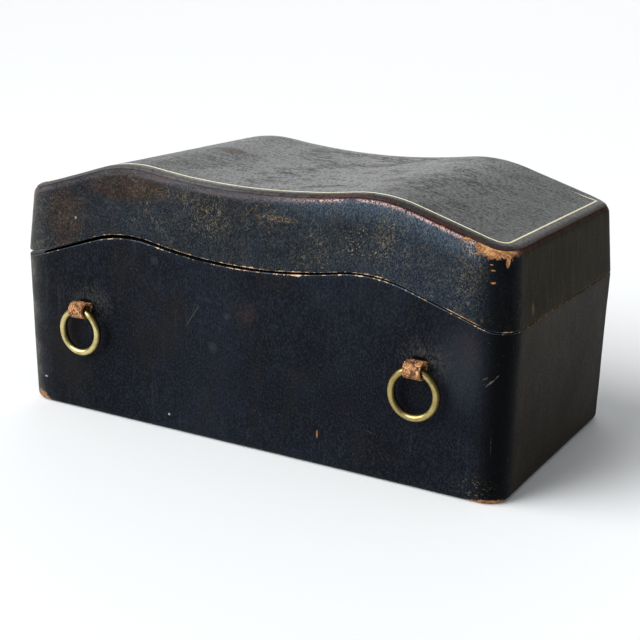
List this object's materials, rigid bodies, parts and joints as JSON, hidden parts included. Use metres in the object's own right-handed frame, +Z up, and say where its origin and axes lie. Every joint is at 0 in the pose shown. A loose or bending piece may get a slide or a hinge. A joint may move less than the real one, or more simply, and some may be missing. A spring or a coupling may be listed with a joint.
{
  "type": "leather box",
  "caption": "Leather-covered box with a hinged lid whose top and seam wave over two crests, and a brass ring on a leather loop near each end of the front.",
  "frame": {"origin": "on the ground under the middle of the box's bottom", "axes": "+X along the box to its right end, +Y to its back, +Z up; the rings hang on the -Y side"},
  "size_m": [0.28, 0.1616, 0.1348],
  "materials": {
    "side_leather": "worn satin",
    "top_leather": "worn satin",
    "board_wood": "bare",
    "lining": "matte",
    "hinge_brass": "dull",
    "ring_brass": "polished by wear",
    "loop_leather": "rough"
  },
  "bodies": {
    "base": {"base_bottom_board": "board_wood", "base_front_board": "board_wood", "base_back_board": "board_wood", "base_left_board": "board_wood", "base_right_board": "board_wood", "base_side_leather": "side_leather", "base_bottom_leather": "side_leather", "base_wall_lining": "lining", "base_floor_lining": "lining", "base_leaf_left": "hinge_brass", "base_leaf_right": "hinge_brass", "hinge_pin_left": "hinge_brass", "hinge_pin_right": "hinge_brass", "base_hinge_screws": "hinge_brass", "ring_loop_left": "loop_leather", "ring_loop_right": "loop_leather", "loop_tacks": "hinge_brass"},
    "lid": {"lid_top_board": "board_wood", "lid_front_board": "board_wood", "lid_back_board": "board_wood", "lid_left_board": "board_wood", "lid_right_board": "board_wood", "lid_side_leather": "side_leather", "lid_top_leather": "top_leather", "lid_wall_lining": "lining", "lid_top_lining": "lining", "lid_leaf_left": "hinge_brass", "lid_leaf_right": "hinge_brass", "lid_hinge_screws": "hinge_brass"},
    "ring_left": {"ring_left": "ring_brass"},
    "ring_right": {"ring_right": "ring_brass"}
  },
  "joints": [
    {"name": "lid_hinge", "type": "hinge", "parent": "base", "child": "lid", "pos_m": [0, 0.0766, 0.09895], "axis": [-1, 0, 0], "range_deg": [0, 95]},
    {"name": "ring_left_swing", "type": "hinge", "parent": "base", "child": "ring_left", "pos_m": [-0.0966, -0.07888, 0.0576], "axis": [-1, 0, 0], "range_deg": [-5, 170]},
    {"name": "ring_right_swing", "type": "hinge", "parent": "base", "child": "ring_right", "pos_m": [0.0966, -0.07888, 0.06], "axis": [-1, 0, 0], "range_deg": [-5, 170]}
  ]
}
